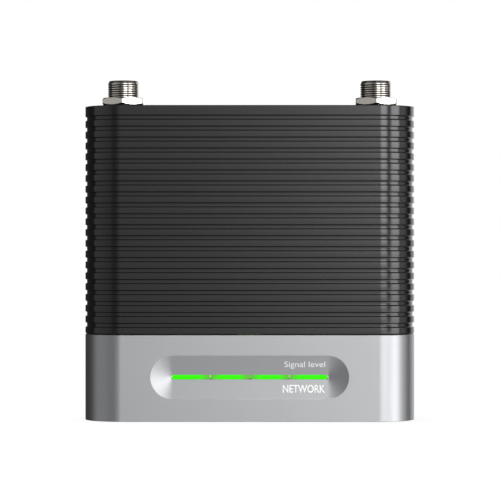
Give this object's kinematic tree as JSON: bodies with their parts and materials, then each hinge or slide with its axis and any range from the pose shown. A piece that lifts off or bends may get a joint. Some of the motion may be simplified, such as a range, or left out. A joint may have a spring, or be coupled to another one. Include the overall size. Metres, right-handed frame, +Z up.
{
  "type": "cellular signal booster",
  "caption": "Upright cellular signal booster with a ribbed black housing, a silver nose cap with a lit status strip, and threaded antenna sockets on top.",
  "frame": {"origin": "middle of the nose cap's flat bottom face", "axes": "+X to the right seen from the front, the front with the light strip faces -Y, +Z up towards the antenna sockets"},
  "size_m": [0.168, 0.038, 0.1727],
  "materials": {
    "black_housing": "satin black powder coat on cast aluminium",
    "silver_cap": "satin silver metallic coat",
    "nickel_plate": "bright nickel plate on brass",
    "light_guide": "clear guide lit green",
    "black_plastic": "moulded black plastic",
    "white_plastic": "moulded white plastic",
    "circuit_board": "green solder mask on glass-epoxy board",
    "tinned_steel": "tinned sheet steel",
    "thermal_pad": "soft silicone gap pad",
    "ceramic_filter": "fired ceramic block",
    "capacitor_can": "drawn aluminium can",
    "led_lens": "clear epoxy lens",
    "zinc_screw": "zinc plated steel",
    "black_screw": "black oxide steel",
    "silicone": "matt silicone rubber",
    "ptfe": "white fluoroplastic",
    "gold_contact": "gold plated brass",
    "coax_sheath": "brown cable sheath",
    "ribbon": "flat film cable",
    "label_film": "blank printed film label"
  },
  "bodies": {
    "root": {"cap_gasket": "silicone", "cap_screw_left": "black_screw", "cap_screw_right": "black_screw", "coax_jumper_left": "coax_sheath", "coax_jumper_right": "coax_sheath", "coax_socket_left": "gold_contact", "coax_socket_right": "gold_contact", "control_shield_can": "tinned_steel", "downlink_shield_can": "tinned_steel", "downlink_thermal_pad": "thermal_pad", "duplexer_left": "ceramic_filter", "duplexer_right": "ceramic_filter", "indicator_board": "circuit_board", "indicator_led_1": "led_lens", "indicator_led_2": "led_lens", "indicator_led_3": "led_lens", "indicator_led_4": "led_lens", "indicator_screw_left": "zinc_screw", "indicator_screw_right": "zinc_screw", "input_capacitor_1": "capacitor_can", "input_capacitor_2": "capacitor_can", "left_antenna_connector_body": "nickel_plate", "left_antenna_connector_contact": "gold_contact", "left_antenna_connector_insulator": "ptfe", "left_antenna_connector_nut": "nickel_plate", "left_antenna_connector_washer": "nickel_plate", "light_frame": "white_plastic", "light_guide_1": "light_guide", "light_guide_2": "light_guide", "light_guide_3": "light_guide", "light_guide_4": "light_guide", "main_board": "circuit_board", "main_board_screw_1": "zinc_screw", "main_board_screw_2": "zinc_screw", "main_board_screw_3": "zinc_screw", "main_board_screw_4": "zinc_screw", "nose_cap": "silver_cap", "power_inductor": "black_plastic", "power_jack_body": "black_plastic", "power_jack_pin": "nickel_plate", "rating_label": "label_film", "rear_cover": "black_housing", "rear_cover_screw_1": "black_screw", "rear_cover_screw_2": "black_screw", "rear_cover_screw_3": "black_screw", "rear_cover_screw_4": "black_screw", "rear_cover_screw_5": "black_screw", "rear_cover_screw_6": "black_screw", "ribbed_housing": "black_housing", "ribbon_cable": "ribbon", "ribbon_socket_indicator": "ptfe", "ribbon_socket_main": "ptfe", "right_antenna_connector_body": "nickel_plate", "right_antenna_connector_contact": "gold_contact", "right_antenna_connector_insulator": "ptfe", "right_antenna_connector_nut": "nickel_plate", "right_antenna_connector_washer": "nickel_plate", "uplink_shield_can": "tinned_steel", "uplink_thermal_pad": "thermal_pad"}
  },
  "joints": []
}
